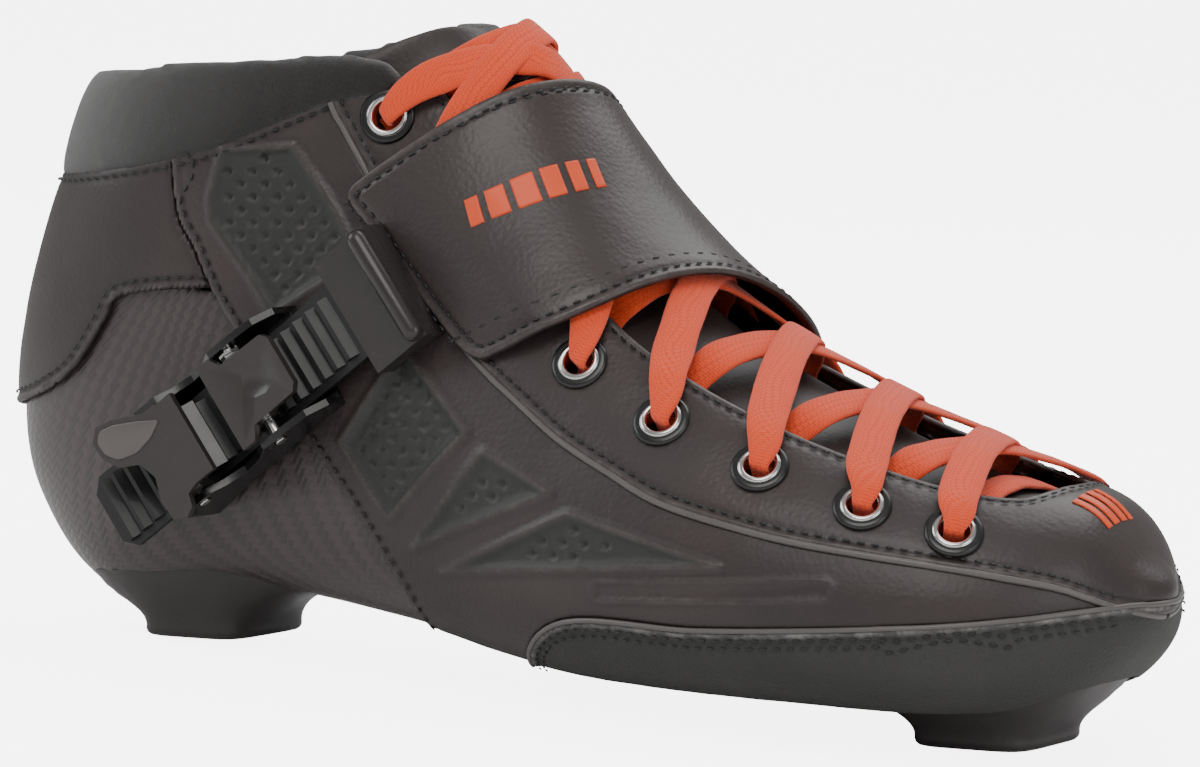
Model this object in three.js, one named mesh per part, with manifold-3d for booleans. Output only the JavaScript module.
// Inline speed-skating boot, right foot, without its frame and wheels.
// Millimetres, +Z up, toe towards +X, the lateral side towards -Y.
// The boot is drawn around a last: a loft of cross-sections from the toe to the collar.
// A place on the last is a station (0 at the toe, lastEnd at the collar) and an angle
// (0 on the instep, 90 on the lateral side, -90 on the medial side, 180 under the foot).
import * as THREE from 'three';
import { mergeVertices } from 'three/addons/utils/BufferGeometryUtils.js';
import Module from 'manifold-3d';

const wasm = await Module();
wasm.setup();

// ---------------------------------------------------------------- driving dimensions
const bootLength = 281;
const ballWidth = 96;
const collarHeight = 157.5;
const mountSpacing = 195; // between the two frame screws
const heelToRearMount = 47.5;
const rearMountHeight = 12; // of the rear mounting face over the front one

const gap = 0.4; // between layers that are bonded or sewn together
const seamGap = 0.35; // between panels along a seam
const fit = 0.3; // around hardware

const shell = { inner: -2.2, outer: -0.9 };
const upper = { inner: -0.5, outer: 0.9 };
const lining = { inner: -5, outer: shell.inner - gap };
const insole = { inner: -7.9, outer: lining.inner - gap };
const tongue = { inner: -8.6, outer: lining.inner - 0.6 };
const collar = { inner: -5.2, outer: 2.2 };
const rand = { inner: -0.5, outer: 1.5 };

const eyelet = { barrel: 3.6, bore: 3.1, flange: 6, backFlange: 4.8, flangeThick: 0.9, seat: 0.35, backSeat: 1.3 };
const lace = { width: 8.6, thick: 1.3, throughEyelet: 4.2 };
const strap = { thick: 1.8, seat: 0.7, overLaces: 4.9 };

const buckleAngle = 36; // of the ladder strap over the horizontal
const buckleCentre = { x: 78.5, z: 65 }; // on the lateral side of the ankle
const buckleReach = 36.1; // from the boot's centre plane to the back of the buckle
const buckle = { width: 25.2, wall: 1.6, floor: 1.8, rear: -21, front: 23 };
const leverAxle = { x: -14.4, z: 10.4, radius: 1.3 };
const pawlAxle = { x: 9.5, z: 9.8, radius: 1.3 };
const ladder = { width: 18, base: 1.6, tooth: 1.5, toothWidth: 14.6, pitch: 3.9, rear: -41, front: 36, bottom: 3.6 };
const connector = { from: 37, to: 52, width: 28, cap: 1.6, ridge: 2.3 };
const lever = { underside: 14.4, thick: 1.6, front: -5, cheek: 2.2 };
const releasePawl = { underside: 12.8, thick: 1.8, hub: 2.8 };
const drivePawl = { hub: 2.7 };
const spring = { coil: 2.2, wire: 0.4, turns: 3 };
const rivet = { head: 3.2, shank: 1.8, headThick: 0.8, backHead: 4 };
const strapRivet = { radius: 3.5, shank: 1.5 };
const block = { halfWidth: 16, frontLength: 28, rearLength: 27, flare: 12 };
const insert = { radius: 5, bore: 2.5, depth: 8 };

const rad = THREE.MathUtils.degToRad;

// ---------------------------------------------------------------- the last
// One row for each station, drawn for a boot of 281 x 96 x 157.5 and graded to size:
// instep x, z, sole x, z, lateral and medial half widths, the share of the section's
// height at which it is widest, and how square the section is above and below that.
const drawn = { length: 281, ball: 96, height: 157.5 };
const lastStations = [
  [275.5, 40.5, 280, 29.5, 9, 9, 0.5, 2, 2],
  [268, 51, 275, 20.5, 22, 22, 0.45, 2.1, 2.6],
  [255, 56, 262, 11, 35, 36, 0.42, 2.1, 3],
  [237, 62, 244, 8.5, 44, 43, 0.38, 2.1, 3.2],
  [206, 75, 212, 9, 50, 46, 0.34, 2, 3.2],
  [177, 91, 182, 9.5, 49, 45, 0.32, 1.9, 3.2],
  [158, 108, 149, 11, 44.5, 42.5, 0.32, 1.9, 3],
  [143, 127, 106, 18, 38.5, 38, 0.34, 1.9, 2.8],
  [134, 141, 65, 22.5, 35.5, 34, 0.36, 1.9, 2.6],
  [127, 147, 24, 20, 34.5, 33, 0.4, 2, 2.4],
  [122, 151, 3, 40, 35, 33, 0.46, 2, 2.3],
  [119, 154, -1.5, 65, 35.5, 34, 0.5, 2.1, 2.2],
  [115, 156, 5.5, 97, 36, 35, 0.5, 2.2, 2.1],
  [111, 157.5, 20.5, 139, 35.5, 34.5, 0.5, 2.2, 2],
];
const lastEnd = lastStations.length - 1;
const lengthGrade = bootLength / drawn.length;
const widthGrade = ballWidth / drawn.ball;
// Heights up to the sole level belong to the mounting and stay; those above it grow with the collar.
const soleLevel = 25;
const heightGrade = (collarHeight - soleLevel) / (drawn.height - soleLevel);
const gradedHeight = (z) => (z > soleLevel ? soleLevel + (z - soleLevel) * heightGrade : z);

const columns = (a, b) => new THREE.SplineCurve(lastStations.map((row) => new THREE.Vector2(row[a], row[b])));
const instepLine = columns(0, 1);
const soleLine = columns(2, 3);
const halfWidths = columns(4, 5);
const squareness = columns(7, 8);
const widestAt = columns(6, 6);

function lastPoint(t, degrees) {
  const u = Math.min(Math.max(t, 0), lastEnd) / lastEnd;
  const top = instepLine.getPoint(u);
  const sole = soleLine.getPoint(u);
  const half = halfWidths.getPoint(u);
  const square = squareness.getPoint(u);
  const widest = widestAt.getPoint(u).x;
  const c = Math.cos(rad(degrees));
  const s = Math.sin(rad(degrees));
  const power = 2 / (c > 0 ? square.x : square.y);
  const rise = Math.abs(c) ** power;
  const share = c > 0 ? widest + (1 - widest) * rise : widest - widest * rise;
  const side = Math.sign(s) * Math.abs(s) ** power * (s > 0 ? half.x : half.y);
  const x = sole.x + (top.x - sole.x) * share;
  const z = sole.y + (top.y - sole.y) * share;
  return new THREE.Vector3(x * lengthGrade, -side * widthGrade, gradedHeight(z));
}

function lastNormal(t, degrees) {
  const along = lastPoint(Math.min(t + 0.01, lastEnd), degrees).sub(lastPoint(Math.max(t - 0.01, 0), degrees));
  const around = lastPoint(t, degrees + 0.5).sub(lastPoint(t, degrees - 0.5));
  return along.cross(around).normalize();
}

const onLast = (t, degrees, offset) => lastPoint(t, degrees).addScaledVector(lastNormal(t, degrees), offset);
const graded = (x, z) => new THREE.Vector2(x * lengthGrade, gradedHeight(z));

// ---------------------------------------------------------------- solids
function geometryFrom(positions, triangles) {
  const geometry = new THREE.BufferGeometry();
  geometry.setAttribute('position', new THREE.Float32BufferAttribute(positions, 3));
  geometry.setIndex(triangles);
  return geometry;
}

function solid(geometry) {
  const bare = geometry.clone();
  bare.deleteAttribute('normal');
  bare.deleteAttribute('uv');
  const merged = mergeVertices(bare, 1e-4);
  return new wasm.Manifold(new wasm.Mesh({
    numProp: 3,
    vertProperties: new Float32Array(merged.attributes.position.array),
    triVerts: new Uint32Array(merged.index.array),
  }));
}

function geometryOf(manifold) {
  const { vertProperties, triVerts } = manifold.getMesh();
  const geometry = geometryFrom(vertProperties, Array.from(triVerts));
  geometry.computeVertexNormals();
  return geometry;
}

// A closed body from rings of points, each ring with the same number of points.
// A ring's points run anticlockwise seen from the last ring.
function loft(rings) {
  const count = rings[0].length;
  const positions = rings.flat().flatMap((p) => [p.x, p.y, p.z]);
  const triangles = [];
  for (let i = 0; i + 1 < rings.length; i += 1) {
    for (let j = 0; j < count; j += 1) {
      const a = i * count + j;
      const b = i * count + (j + 1) % count;
      triangles.push(a, b, b + count, a, b + count, a + count);
    }
  }
  for (const [ring, flip] of [[0, true], [rings.length - 1, false]]) {
    const middle = rings[ring].reduce((sum, p) => sum.add(p), new THREE.Vector3()).divideScalar(count);
    const centre = positions.length / 3;
    positions.push(middle.x, middle.y, middle.z);
    for (let j = 0; j < count; j += 1) {
      const a = ring * count + j;
      const b = ring * count + (j + 1) % count;
      triangles.push(centre, flip ? b : a, flip ? a : b);
    }
  }
  return geometryFrom(positions, triangles);
}

// The last grown by an offset. Every body of this kind has its facets on the same lines,
// so that layers stay parallel. A body that cuts a hollow is carried on past the collar.
const toeStations = [0, 0.2, 0.45, 0.75, 1.1, 1.5];
const bodyStations = Array.from({ length: 20 }, (_, i) => 2 + (i * (lastEnd - 2)) / 19);
const anglesAround = Array.from({ length: 20 }, (_, i) => 360 - (i * 360) / 20);
const pastCollar = new THREE.Vector3(-6.5, 0, 24);

const noseBulge = 0.9;
const noseDirection = new THREE.Vector3(0.93, 0, 0.37);

function grownLast(offset, carriedOn = false) {
  const start = offset < -4 ? 1.1 : offset < -1.5 ? 0.45 : offset < 0 ? 0.2 : 0;
  const stations = [...toeStations, ...bodyStations].filter((t) => t >= start);
  const rings = stations.map((t) => anglesAround.map((angle) => onLast(t, angle, offset)));
  const nose = rings[0].reduce((sum, p) => sum.add(p), new THREE.Vector3()).divideScalar(rings[0].length);
  rings.unshift(rings[0].map((p) => p.clone().lerp(nose, 0.5).addScaledVector(noseDirection, noseBulge)));
  if (carriedOn) {
    rings.push(rings.at(-1).map((p) => p.clone().add(pastCollar)));
  }
  return solid(loft(rings));
}

const layer = ({ inner, outer }) => grownLast(outer).subtract(grownLast(inner, true));

// A slab that follows the last between two angles at each station and two offsets.
function lastSlab(rows, inner, outer, across = 4) {
  const rings = rows.map(([t, from, to]) => {
    const angles = Array.from({ length: across + 1 }, (_, i) => from + ((to - from) * i) / across);
    return [
      ...angles.map((angle) => onLast(t, angle, inner)),
      ...angles.reverse().map((angle) => onLast(t, angle, outer)),
    ];
  });
  return solid(loft(rings));
}

// An outline in side view, carried across the boot between two values of y.
function sideCut(points, from = -80, to = 80) {
  const geometry = new THREE.ExtrudeGeometry(new THREE.Shape(points), { depth: to - from, bevelEnabled: false });
  geometry.rotateX(Math.PI / 2);
  geometry.translate(0, to, 0);
  return solid(geometry);
}

// A thin wall on a seam line in side view, which parts the panels on its two sides.
function seamCut(points, from = -80, to = 80) {
  const sides = [[], []];
  points.forEach((point, i) => {
    const before = points[Math.max(i - 1, 0)];
    const after = points[Math.min(i + 1, points.length - 1)];
    const across = after.clone().sub(before).normalize().rotateAround(new THREE.Vector2(), Math.PI / 2);
    sides[0].push(point.clone().addScaledVector(across, seamGap / 2));
    sides[1].unshift(point.clone().addScaledVector(across, -seamGap / 2));
  });
  return sideCut([...sides[0], ...sides[1]], from, to);
}

// The body itself, without the crumbs that cuts leave along a seam.
const withoutCrumbs = (body) => body.decompose().sort((a, b) => b.volume() - a.volume())[0];

const paint = (color, roughness, metalness) => new THREE.MeshStandardMaterial({ color, roughness, metalness });
const leather = paint(0x4b4240, 0.55, 0);
const mesh = paint(0x2b2a28, 0.95, 0);
const carbon = paint(0x40383a, 0.4, 0.1);
const rubber = paint(0x30302d, 0.8, 0);
const plastic = paint(0x161616, 0.25, 0);
const steel = paint(0xb8b8b4, 0.3, 1);
const orange = paint(0xff6a3c, 0.85, 0);

const boot = new THREE.Group();

function add(name, shape, material, parent = boot) {
  const geometry = shape instanceof THREE.BufferGeometry ? shape : geometryOf(withoutCrumbs(shape));
  const piece = new THREE.Mesh(geometry, material);
  piece.name = name;
  parent.add(piece);
  return piece;
}

// ---------------------------------------------------------------- lines of the upper, in side view
const line = (...pairs) => pairs.map(([x, z]) => graded(x, z));

const vampSeam = line([90, 160], [95, 134], [98, 127], [103, 119], [112, 106], [122, 93], [132, 83], [140.5, 76],
  [149, 70.5], [161, 63], [175, 56.5], [188, 51], [207, 46.5], [220, 44], [234, 42], [248, 40], [259, 38],
  [269, 35.5], [276, 31.5]);
const quarterSeam = line([59, 160], [59, 114], [64, 100], [73, 84], [99, 54], [106, 46], [114, 35], [119, 24], [119, -9]);
const counterLip = line([-20, 58], [7, 64], [18, 67], [30, 73], [40, 84.5], [43, 89], [54, 91], [69, 92]);
const randLine = line([136, -9], [142, 8], [162.5, 25], [199, 26], [232, 27.5], [260, 29.5], [276, 31.5], [300, 33]);
const shellRim = line([-20, 96], [40, 97], [62, 92], [82, 88], [97, 78], [108, 62], [120, 46], [150, 34], [200, 21],
  [300, 21]);
const collarSeam = {
  lateral: line([-20, 116], [20, 116], [44, 118], [66, 122], [82, 128], [95, 133.5], [103, 135.5], [111, 136.5], [310, 137]),
  medial: line([-20, 116], [20, 116], [44, 118.5], [66, 124], [82, 131], [95, 138], [103, 141], [112, 143], [310, 145]),
};
const collarRim = {
  lateral: line([-20, 139], [30, 139.5], [52, 141], [76, 142.5], [95, 143], [104, 142.5], [111, 140], [116, 136]),
  medial: line([-20, 139], [30, 139.5], [52, 142], [76, 146], [90, 149], [100, 150], [109, 149], [118, 143]),
};
const tongueTop = line([80, 143], [92, 148], [103, 153], [108, 156], [125, 156], [160, 170], [60, 170]);

const throatRows = [[1.6, 4], [1.8, 24], [2.1, 32], [2.8, 35], [3.8, 37], [5.5, 37], [7.5, 35], [9.5, 31], [11, 30], [lastEnd, 30]];
const throat = (extra, inner, outer) =>
  lastSlab(throatRows.map(([t, edge]) => [t, -edge - extra, edge + extra]), inner, outer);

// ---------------------------------------------------------------- eyelet places
const eyeletPlaces = [[2.5, 55], [3.3, 53.5], [4, 52], [4.8, 51.5], [5.7, 51], [6.75, 50], [8.05, 47.5], [9.4, 43.5]];
const alongNormal = (t, angle) =>
  new THREE.Quaternion().setFromUnitVectors(new THREE.Vector3(0, 1, 0), lastNormal(t, angle));

function eyeletHole(t, angle) {
  const hole = new THREE.CylinderGeometry(eyelet.barrel + fit, eyelet.barrel + fit, 8, 10);
  hole.applyQuaternion(alongNormal(t, angle));
  const place = lastPoint(t, angle);
  hole.translate(place.x, place.y, place.z);
  return solid(hole);
}

// ---------------------------------------------------------------- rivets of the strap's fixed end
const strapRivetPlaces = [[5.95, -76], [7.2, -76]];
function strapRivetPart(t, angle, radius, from, to) {
  const pin = new THREE.CylinderGeometry(radius, radius, to - from, 14);
  pin.translate(0, (from + to) / 2, 0);
  pin.applyQuaternion(alongNormal(t, angle));
  const place = lastPoint(t, angle);
  pin.translate(place.x, place.y, place.z);
  return solid(pin);
}

const strapPinHoles = strapRivetPlaces
  .map(([t, angle]) => strapRivetPart(t, angle, strapRivet.shank + fit, shell.outer - fit, 9))
  .reduce((a, b) => a.add(b));

// ---------------------------------------------------------------- buckle frame
// x runs up the ladder strap to the instep, z points away from the boot.
const buckleGroup = new THREE.Group();
const cosine = Math.cos(rad(buckleAngle));
const sine = Math.sin(rad(buckleAngle));
const buckleMatrix = new THREE.Matrix4().makeBasis(
  new THREE.Vector3(cosine, 0, sine),
  new THREE.Vector3(-sine, 0, cosine),
  new THREE.Vector3(0, -1, 0),
).setPosition(buckleCentre.x * lengthGrade, -buckleReach * widthGrade, gradedHeight(buckleCentre.z));
buckleGroup.applyMatrix4(buckleMatrix);
boot.add(buckleGroup);
const toBuckle = (body) => body.transform(buckleMatrix.clone().invert().elements);
const toBoot = (body) => body.transform(buckleMatrix.elements);

function roundBar(radius, length, x, z, sides = 14) {
  const bar = new THREE.CylinderGeometry(radius, radius, length, sides);
  bar.translate(x, 0, z);
  return bar;
}
function peg(radius, from, to, x, y, sides = 16) {
  const body = new THREE.CylinderGeometry(radius, radius, to - from, sides);
  body.rotateX(Math.PI / 2);
  body.translate(x, y, (from + to) / 2);
  return solid(body);
}
function box(x0, x1, y0, y1, z0, z1) {
  const body = new THREE.BoxGeometry(x1 - x0, y1 - y0, z1 - z0);
  body.translate((x0 + x1) / 2, (y0 + y1) / 2, (z0 + z1) / 2);
  return solid(body);
}
// An outline in the x, z plane of the buckle, from y0 to y1.
function profile(points, y0, y1) {
  const shape = new THREE.Shape(points.map(([x, z]) => new THREE.Vector2(x, z)));
  const body = new THREE.ExtrudeGeometry(shape, { depth: y1 - y0, bevelEnabled: false });
  body.rotateX(Math.PI / 2);
  body.translate(0, y1, 0);
  return solid(body);
}
// An outline in the x, y plane of the buckle, from z0 to z1.
function plan(points, z0, z1) {
  const shape = new THREE.Shape(points.map(([x, y]) => new THREE.Vector2(x, y)));
  const body = new THREE.ExtrudeGeometry(shape, { depth: z1 - z0, bevelEnabled: false });
  body.translate(0, 0, z0);
  return solid(body);
}

const rivetPlaces = [-8, 5];
const rivetHoles = rivetPlaces.map((x) => peg(rivet.shank + fit, -9, 9, x, 0)).reduce((a, b) => a.add(b));
const rivetHolesInBoot = toBoot(rivetHoles);
const backHeadTop = -4.4;
const rivetPockets = toBoot(rivetPlaces.map((x) => peg(rivet.backHead + fit, -9, backHeadTop + fit, x, 0))
  .reduce((a, b) => a.add(b)));

// ---------------------------------------------------------------- layers of the boot
const soleWindow = lastSlab([[1.3, 150, 210], [2, 150, 210], [4, 150, 210], [6, 148, 212], [7.2, 145, 215], [8, 140, 220]],
  -1.6, 6);
const wholeUpper = layer(upper);
const holes = eyeletPlaces.flatMap(([t, angle]) => [eyeletHole(t, angle), eyeletHole(t, -angle)])
  .reduce((a, b) => a.add(b));

function belowSeam(lines, side) {
  const depth = graded(0, -40).y;
  const points = [...lines[side], new THREE.Vector2(lines[side].at(-1).x, depth), new THREE.Vector2(lines[side][0].x, depth)];
  return side === 'lateral' ? sideCut(points, -80, 0) : sideCut(points, 0, 80);
}
const below = (lines) => belowSeam(lines, 'lateral').add(belowSeam(lines, 'medial'));
const seamOf = (lines) => seamCut(lines.lateral, -80, 0).add(seamCut(lines.medial, 0, 80));
const belowCollar = below(collarSeam).subtract(seamOf(collarSeam));

const vampArea = sideCut([...vampSeam, graded(300, 31.5), graded(300, 200), graded(90, 200)]);
const randArea = sideCut([...randLine, graded(300, -9)]);
const counterArea = sideCut([...counterLip, ...quarterSeam.slice(0, 3).reverse(), graded(-20, 160)]);
const quarterArea = sideCut([...quarterSeam, ...randLine.slice(0, -1), ...vampSeam.slice(0, -1).reverse()]);
const seams = [vampSeam, quarterSeam, counterLip, randLine].map((points) => seamCut(points)).reduce((a, b) => a.add(b));

const trimmedUpper = wholeUpper.intersect(belowCollar).subtract(seams).subtract(rivetHolesInBoot);
const shellBody = layer(shell).intersect(sideCut([...shellRim, graded(300, -20), graded(-20, -20)]));
add('carbon_shell', shellBody.subtract(rivetHolesInBoot), carbon);

const liningBody = layer(lining).intersect(belowCollar).subtract(throat(27, lining.inner - 3, 2)).subtract(rivetPockets);
add('lining', liningBody.subtract(rivetHolesInBoot), mesh);

const insoleArea = lastSlab([[1.3, 140, 220], [2, 138, 222], [4, 136, 224], [6, 136, 224], [8, 132, 228], [9.3, 120, 240]],
  -14, -3);
add('insole', layer(insole).intersect(insoleArea), mesh);

add('vamp', trimmedUpper.intersect(vampArea).subtract(throat(0, -4, 4)).subtract(holes), leather);
const quarters = trimmedUpper.intersect(quarterArea).subtract(soleWindow);
const halfSpace = (from, to) => sideCut([graded(-40, -40), graded(330, -40), graded(330, 220), graded(-40, 220)], from, to);
add('lateral_quarter', quarters.intersect(halfSpace(-80, -seamGap)), leather);
add('medial_quarter', quarters.intersect(halfSpace(seamGap, 80)).subtract(strapPinHoles), leather);
add('heel_counter', trimmedUpper.intersect(counterArea), leather);
add('toe_rand', layer(rand).intersect(randArea).subtract(seamCut(randLine)).subtract(soleWindow), rubber);

const collarFront = lastSlab([[8, -37, 37], [9.5, -37, 37], [11, -37, 37], [lastEnd, -37, 37]], -12, 12);
function collarBand(side, from, to) {
  const rim = collarRim[side];
  const seam = collarSeam[side];
  return sideCut([...seam.slice(0, -1), ...[...rim].reverse()], from, to);
}
const collarArea = collarBand('lateral', -80, 0).add(collarBand('medial', 0, 80));
add('collar_pad', layer(collar).intersect(collarArea).subtract(seamOf(collarSeam)).subtract(collarFront), mesh);

// ---------------------------------------------------------------- tongue
const tongueRows = [[1.9, 20], [2.3, 40], [3, 52], [4, 56], [6, 56], [8, 54], [10, 50], [lastEnd, 46]];
const tongueArea = lastSlab(tongueRows.map(([t, edge]) => [t, -edge, edge]), -14, -3);
const tongueBody = layer(tongue).intersect(tongueArea).subtract(sideCut(tongueTop));
add('tongue', tongueBody, leather);

// ---------------------------------------------------------------- mounting blocks
// A block under the shell, its sides flaring up from the mounting face.
function mountingBlock(name, centre, face, length, top) {
  const half = length / 2;
  const flare = block.flare;
  const side = (reach, height) => [
    new THREE.Vector2(centre - half, face),
    new THREE.Vector2(centre + half, face),
    new THREE.Vector2(centre + half + reach, face + height),
    new THREE.Vector2(centre - half - reach, face + height),
  ];
  const lengthwise = sideCut(side(flare, top - face));
  const across = new THREE.Shape([
    new THREE.Vector2(-block.halfWidth, face),
    new THREE.Vector2(block.halfWidth, face),
    new THREE.Vector2(block.halfWidth + flare / 2, top),
    new THREE.Vector2(-block.halfWidth - flare / 2, top),
  ]);
  const crosswise = new THREE.ExtrudeGeometry(across, { depth: length + 4 * flare, bevelEnabled: false });
  crosswise.rotateX(Math.PI / 2);
  crosswise.rotateZ(Math.PI / 2);
  crosswise.translate(centre - half - 2 * flare, 0, 0);
  const socket = new THREE.CylinderGeometry(insert.radius + fit, insert.radius + fit, 2 * insert.depth, 20);
  socket.rotateX(Math.PI / 2);
  socket.translate(centre, 0, face);
  const body = lengthwise.intersect(solid(crosswise)).subtract(grownLast(shell.outer + gap)).subtract(solid(socket));
  add(name, body, carbon);
  const r = insert.radius;
  const bushing = new THREE.LatheGeometry([
    new THREE.Vector2(insert.bore, 0),
    new THREE.Vector2(r, 0),
    new THREE.Vector2(r, insert.depth - fit),
    new THREE.Vector2(insert.bore, insert.depth - fit),
    new THREE.Vector2(insert.bore, 0),
  ], 20);
  const bush = add(name.replace('mount_block', 'threaded_insert'), bushing, steel);
  bush.rotation.x = Math.PI / 2;
  bush.position.set(centre, 0, face);
}
const rearMount = heelToRearMount;
const frontMount = heelToRearMount + mountSpacing;
mountingBlock('rear_mount_block', rearMount, rearMountHeight, block.rearLength, rearMountHeight + 16);
mountingBlock('front_mount_block', frontMount, 0, block.frontLength, 12);

// ---------------------------------------------------------------- eyelets and lace
function eyeletProfile() {
  const top = upper.outer + eyelet.seat;
  const back = upper.inner - eyelet.backSeat;
  const thick = eyelet.flangeThick;
  return [
    [eyelet.bore, back - thick], [eyelet.backFlange, back - thick], [eyelet.backFlange, back],
    [eyelet.barrel, back], [eyelet.barrel, top], [eyelet.flange, top], [eyelet.flange - 0.5, top + thick],
    [eyelet.bore, top + thick], [eyelet.bore, back - thick],
  ].map(([r, h]) => new THREE.Vector2(r, h));
}
eyeletPlaces.forEach(([t, angle], i) => {
  for (const [side, sign] of [['lateral', 1], ['medial', -1]]) {
    const ring = add(`eyelet_${side}_${i + 1}`, new THREE.LatheGeometry(eyeletProfile(), 12), steel);
    ring.quaternion.copy(alongNormal(t, sign * angle));
    ring.position.copy(lastPoint(t, sign * angle));
  }
});

// A flat band along a smooth curve through points of the last: [station, angle, offset, width].
function band(points, steps) {
  const path = new THREE.CatmullRomCurve3(points.map(([t, angle, offset]) => onLast(t, angle, offset)));
  const places = new THREE.SplineCurve(points.map(([t, angle]) => new THREE.Vector2(t, angle)));
  const widths = new THREE.SplineCurve(points.map((point) => new THREE.Vector2(point[3], 0)));
  const rings = [];
  for (let i = 0; i <= steps; i += 1) {
    const u = i / steps;
    const centre = path.getPoint(u);
    const along = path.getTangent(u);
    const { x: t, y: angle } = places.getPoint(u);
    const forward = lastPoint(t - 0.1, angle).sub(lastPoint(t + 0.1, angle)).normalize();
    const across = forward.addScaledVector(along, -forward.dot(along)).normalize();
    const out = new THREE.Vector3().crossVectors(along, across);
    const at = (a, b) => centre.clone().addScaledVector(across, a).addScaledVector(out, b);
    const [w, h] = [widths.getPoint(u).x / 2, lace.thick / 2];
    rings.push([at(w, h), at(-w, h), at(-w, -h), at(w, -h)]);
  }
  return solid(loft(rings));
}

// ---------------------------------------------------------------- power strap
const lowerEdge = new THREE.SplineCurve([[6.6, 66], [5.6, 37], [5, 0], [4.85, -40], [5.6, -82]]
  .map(([t, angle]) => new THREE.Vector2(t, angle)));
const upperEdge = new THREE.SplineCurve([[8.9, 56], [8.1, 33], [7.45, 0], [7.4, -40], [7.7, -82]]
  .map(([t, angle]) => new THREE.Vector2(t, angle)));
const strapRise = (angle) => THREE.MathUtils.smoothstep(angle > 0 ? (64 - angle) / 14 : (76 + angle) / 20, 0, 1);
function strapSeat(angle) {
  const low = upper.outer + strap.seat;
  return low + (strap.overLaces - low) * strapRise(angle);
}
function strapBody(clearance) {
  const rings = [];
  const steps = 22;
  const beyond = clearance > 0 ? 0.15 : 0;
  const edgeAt = (edge, i) => {
    if (i < 0) return edge.getPoint(0).lerp(edge.getPoint(1 / steps), i);
    return i > steps ? edge.getPoint(1).lerp(edge.getPoint(1 - 1 / steps), steps - i) : edge.getPoint(i / steps);
  };
  for (let i = 0; i <= steps; i += 1) {
    const place = i === 0 ? -beyond : i === steps ? steps + beyond : i;
    const low = edgeAt(lowerEdge, place);
    const high = edgeAt(upperEdge, place);
    const edge = [-beyond / 4, 0.25, 0.5, 0.75, 1 + beyond / 4].map((v) => low.clone().lerp(high, v));
    rings.push([
      ...edge.map(({ x: t, y: angle }) => onLast(t, angle, strapSeat(angle) - clearance)),
      ...edge.reverse().map(({ x: t, y: angle }) => onLast(t, angle, strapSeat(angle) + strap.thick + clearance)),
    ]);
  }
  return solid(loft(rings));
}

const strapPins = strapRivetPlaces.map(([t, angle]) => {
  const top = upper.outer + strap.seat + strap.thick + fit;
  const head = strapRivetPart(t, angle, strapRivet.radius, top, top + 1);
  const shank = strapRivetPart(t, angle, strapRivet.shank, shell.outer + 0.1, top + 0.5);
  return head.add(shank);
});
add('power_strap', strapBody(0).subtract(strapPinHoles), leather);
strapPins.forEach((pin, i) => add(`strap_rivet_${i + 1}`, pin, steel));

// ---------------------------------------------------------------- lace
// Each pass comes up through an eyelet, crosses the tongue and dives under the far eyestay
// to the next eyelet up. One lace, so its passes are joined.
const underEyestay = -4;
const overFlange = upper.outer + eyelet.seat + eyelet.flangeThick + lace.thick / 2 + fit;
function lacePass(from, to, sign) {
  const [t0, a0] = from;
  const [t1, a1] = to;
  const between = (u) => t0 + (t1 - t0) * u;
  const high = sign > 0 ? 3.4 : 2.2;
  const narrow = lace.throughEyelet;
  return band([
    [t0, sign * a0, underEyestay, narrow],
    [t0, sign * a0, -0.5, narrow],
    [t0, sign * a0, overFlange - 0.6, narrow],
    [t0, sign * (a0 - 5), overFlange + 0.5, narrow + 2.5],
    [between(0.1), sign * (a0 - 14), overFlange + 0.2, lace.width],
    [between(0.3), sign * 18, high, lace.width],
    [between(0.5), 0, high, lace.width],
    [between(0.68), -sign * 16, high - 0.6, lace.width],
    [between(0.82), -sign * 27, -0.4, lace.width],
    [between(0.94), -sign * 37, underEyestay, lace.width - 2],
    [t1, -sign * (a1 + 2), underEyestay, narrow],
  ], 11);
}
const lacePasses = [];
for (let i = 0; i + 1 < eyeletPlaces.length; i += 1) {
  lacePasses.push(lacePass(eyeletPlaces[i], eyeletPlaces[i + 1], 1));
  lacePasses.push(lacePass(eyeletPlaces[i], eyeletPlaces[i + 1], -1));
}
const [toeT, toeAngle] = eyeletPlaces[0];
const [topT, topAngle] = eyeletPlaces.at(-1);
lacePasses.push(band([
  [toeT, toeAngle + 2, underEyestay, lace.throughEyelet],
  [toeT, 30, underEyestay, lace.width - 2],
  [toeT, 0, underEyestay, lace.width - 2],
  [toeT, -30, underEyestay, lace.width - 2],
  [toeT, -toeAngle - 2, underEyestay, lace.throughEyelet],
], 8));
for (const sign of [1, -1]) {
  lacePasses.push(band([
    [topT, sign * topAngle, underEyestay, lace.throughEyelet],
    [topT, sign * topAngle, -0.5, lace.throughEyelet],
    [topT, sign * topAngle, overFlange - 0.6, lace.throughEyelet],
    [topT, sign * (topAngle - 5), overFlange + 0.7, lace.throughEyelet + 2.5],
    [topT - 0.25, sign * (topAngle - 14), overFlange + 0.9, lace.width],
    [topT - 0.75, sign * 16, 3.2, lace.width],
    [topT - 1.35, sign * 2, 2.6 + sign, lace.width],
    [topT - 1.95, -sign * 10, 2.6, lace.width],
    [topT - 2.5, -sign * 15, 2.6, lace.width],
  ], 11));
}
add('lace', lacePasses.reduce((a, b) => a.add(b)), orange);

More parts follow.
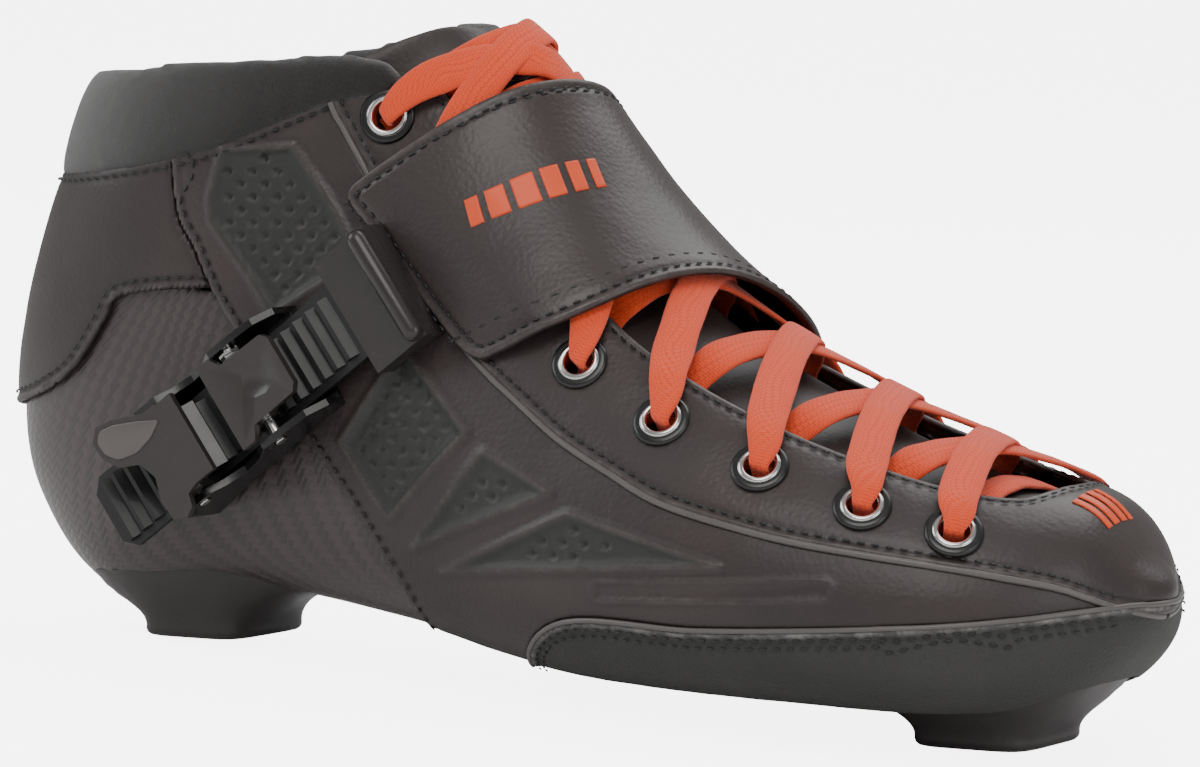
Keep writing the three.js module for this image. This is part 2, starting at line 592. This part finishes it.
// ---------------------------------------------------------------- ladder strap and its connector
const ladderTop = ladder.bottom + ladder.base;
const toothTop = ladderTop + ladder.tooth;
const ladderChamfer = 3;
function ladderBody() {
  const w = ladder.width / 2;
  const end = connector.to - 3;
  const strip = plan([
    [ladder.rear, -w + ladderChamfer], [ladder.rear + ladderChamfer, -w], [end, -w], [end, w],
    [ladder.rear + ladderChamfer, w], [ladder.rear, w - ladderChamfer],
  ], ladder.bottom, ladderTop);
  const teeth = [[ladder.rear + 2, ladderTop - 0.2]];
  for (let x = ladder.rear + 2; x + ladder.pitch < connector.from - 1; x += ladder.pitch) {
    teeth.push([x + 0.6, toothTop], [x + 1.6, toothTop], [x + ladder.pitch - 0.4, ladderTop], [x + ladder.pitch, ladderTop]);
  }
  teeth.push([teeth.at(-1)[0], ladderTop - 0.2]);
  return strip.add(profile(teeth, -ladder.toothWidth / 2, ladder.toothWidth / 2));
}
add('ladder_strap', ladderBody(), plastic, buckleGroup);

const underConnector = toBuckle(strapBody(gap).add(grownLast(upper.outer + gap)));
const halfConnector = connector.width / 2;
const baseTop = ladder.bottom - fit;
add('strap_connector_base', box(connector.from, connector.to, -halfConnector, halfConnector, -9, baseTop)
  .subtract(underConnector), plastic, buckleGroup);
const capTop = ladderTop + fit + connector.cap;
const ridgeX = connector.to - connector.ridge;
const ridgeBar = roundBar(connector.ridge, connector.width - 2 * connector.ridge, ridgeX, capTop + 0.6, 16);
const ridgeEnds = [-1, 1].map((sign) => {
  const end = new THREE.SphereGeometry(connector.ridge, 16, 8);
  end.translate(ridgeX, sign * (halfConnector - connector.ridge), capTop + 0.6);
  return solid(end);
});
const capBody = box(connector.from, connector.to, -halfConnector, halfConnector, ladder.bottom, capTop)
  .subtract(box(connector.from - 1, connector.to - 3 + fit, -ladder.width / 2 - fit, ladder.width / 2 + fit,
    ladder.bottom - 1, ladderTop + fit))
  .add(solid(ridgeBar).add(ridgeEnds[0]).add(ridgeEnds[1])
    .intersect(box(connector.from, connector.to + 1, -halfConnector, halfConnector, ladderTop + fit + 0.1, 20)));
add('strap_connector_cap', capBody, plastic, buckleGroup);

// ---------------------------------------------------------------- buckle
const half = buckle.width / 2;
const inside = half - buckle.wall;
const wallLine = [[buckle.rear, -9], [buckle.front, -9], [buckle.front, 7.5], [19, 11.5], [13, 12.4], [6, 12.4], [2, 9],
  [-3, 7.6], [-8, 9.4], [-11, 12.6], [-17.5, 12.6], [buckle.rear, 8]];
const axleHoles = [leverAxle, pawlAxle].map((axle) => solid(roundBar(axle.radius + fit, 40, axle.x, axle.z)))
  .reduce((a, b) => a.add(b));
const underBuckle = toBuckle(grownLast(upper.outer + gap));
const rivetTop = buckle.floor + fit;
add('buckle_base', profile(wallLine, -half, half)
  .subtract(box(-60, 60, -inside, inside, buckle.floor, 30))
  .subtract(underBuckle).subtract(axleHoles).subtract(rivetHoles), plastic, buckleGroup);
rivetPlaces.forEach((x, i) => {
  const head = peg(rivet.head, rivetTop, rivetTop + rivet.headThick, x, 0);
  const shank = peg(rivet.shank, backHeadTop - 0.5, rivetTop + 0.4, x, 0);
  const back = peg(rivet.backHead, backHeadTop - 1, backHeadTop, x, 0);
  add(`buckle_rivet_${i + 1}`, head.add(shank).add(back), steel, buckleGroup);
});
for (const [name, axle] of [['lever_axle', leverAxle], ['pawl_axle', pawlAxle]]) {
  add(name, roundBar(axle.radius, buckle.width + 0.8, axle.x, axle.z, 16), steel, buckleGroup);
}

const running = inside - 0.5; // half width of what turns between the walls
const leverOutline = [[lever.front, -9.8], [-11, -9.8], [-13.6, -10.6], [-14.4, -13.4], [-17, -14.6], [-20.2, -13],
  [-20.6, -8], [-18.8, -3], [-20.4, 1.5], [-25.5, 4], [-28, 7.5], [-28.4, 12], [-25.6, 14.6], [-21, 13.6],
  [-14.4, 10.6], [-12, 9.8], [lever.front, 9.8]];
const cheekLine = [[-18.4, 15], [-18.2, 9.8], [-16.4, 7.8], [-14.4, 7.4], [-12.4, 7.8], [-11.2, 9.4], [-10.4, 15]];
const leverTop = lever.underside + lever.thick;
const leverBody = [-1, 1].map((sign) => profile(cheekLine, ...(sign < 0 ? [-running, -running + lever.cheek]
  : [running - lever.cheek, running]))).reduce((a, b) => a.add(b), plan(leverOutline, lever.underside, leverTop))
  .subtract(solid(roundBar(leverAxle.radius + fit, 40, leverAxle.x, leverAxle.z)));
add('drive_lever', leverBody, plastic, buckleGroup);

const fingerWidth = running - lever.cheek - 0.4;
const drivePawlBody = solid(roundBar(drivePawl.hub, 2 * fingerWidth, leverAxle.x, leverAxle.z))
  .add(profile([[-13.4, 7.9], [-6.2, 7.1], [-5.8, 7.7], [-7, 8.7], [-11.4, 11.6]], -fingerWidth, fingerWidth))
  .subtract(solid(roundBar(leverAxle.radius + fit, 40, leverAxle.x, leverAxle.z)))
  .subtract(box(-19, -11.4, 0.6, fingerWidth - 2, 0, 30));
add('drive_pawl', drivePawlBody, plastic, buckleGroup);

const pawlFront = 22.4;
const crossbar = running;
const pawlOutline = [[3, -crossbar], [6.8, -crossbar], [8.6, -7.7], [pawlFront - 1.5, -7.4], [pawlFront, -5.8],
  [pawlFront, 5.8], [pawlFront - 1.5, 7.4], [8.6, 7.7], [6.8, crossbar], [3, crossbar]];
const pawlTop = releasePawl.underside + releasePawl.thick;
const dimple = new THREE.SphereGeometry(11, 24, 12);
dimple.scale(1, 0.8, 1);
dimple.translate(15, 0, pawlTop + 9.9);
const releaseBody = plan(pawlOutline, releasePawl.underside, pawlTop).subtract(solid(dimple))
  .add(solid(roundBar(releasePawl.hub, 15, pawlAxle.x, pawlAxle.z)))
  .add(box(8, 11, -7.5, 7.5, pawlAxle.z, releasePawl.underside + 0.3))
  .add(profile([[3, 13], [3.4, 7.1], [4.6, 7.1], [6.8, 9.6], [8, 13]], -7.5, 7.5))
  .subtract(solid(roundBar(pawlAxle.radius + fit, 40, pawlAxle.x, pawlAxle.z)));
add('release_pawl', releaseBody, plastic, buckleGroup);

class CoilCurve extends THREE.Curve {
  constructor(x, z, from, to) {
    super();
    Object.assign(this, { x, z, from, to });
  }

  getPoint(u, target = new THREE.Vector3()) {
    const turn = 2 * Math.PI * spring.turns * u;
    return target.set(this.x + spring.coil * Math.cos(turn), this.from + (this.to - this.from) * u,
      this.z + spring.coil * Math.sin(turn));
  }
}
function coilSpring(name, axle, from, to) {
  const wire = new THREE.Shape();
  wire.absarc(0, 0, spring.wire, 0, 2 * Math.PI);
  const coil = new THREE.ExtrudeGeometry(wire, {
    steps: 8 * spring.turns, curveSegments: 2, bevelEnabled: false, extrudePath: new CoilCurve(axle.x, axle.z, from, to),
  });
  add(name, solid(coil), steel, buckleGroup);
}
coilSpring('release_pawl_spring', pawlAxle, 8.3, 10.3);
coilSpring('drive_pawl_spring', leverAxle, 1.4, 4.6);

// ---------------------------------------------------------------- stand the boot on its origin
const bounds = new THREE.Box3().setFromObject(boot, true);
const middle = bounds.getCenter(new THREE.Vector3());
boot.position.set(-middle.x, -middle.y, -bounds.min.z);

export default boot;
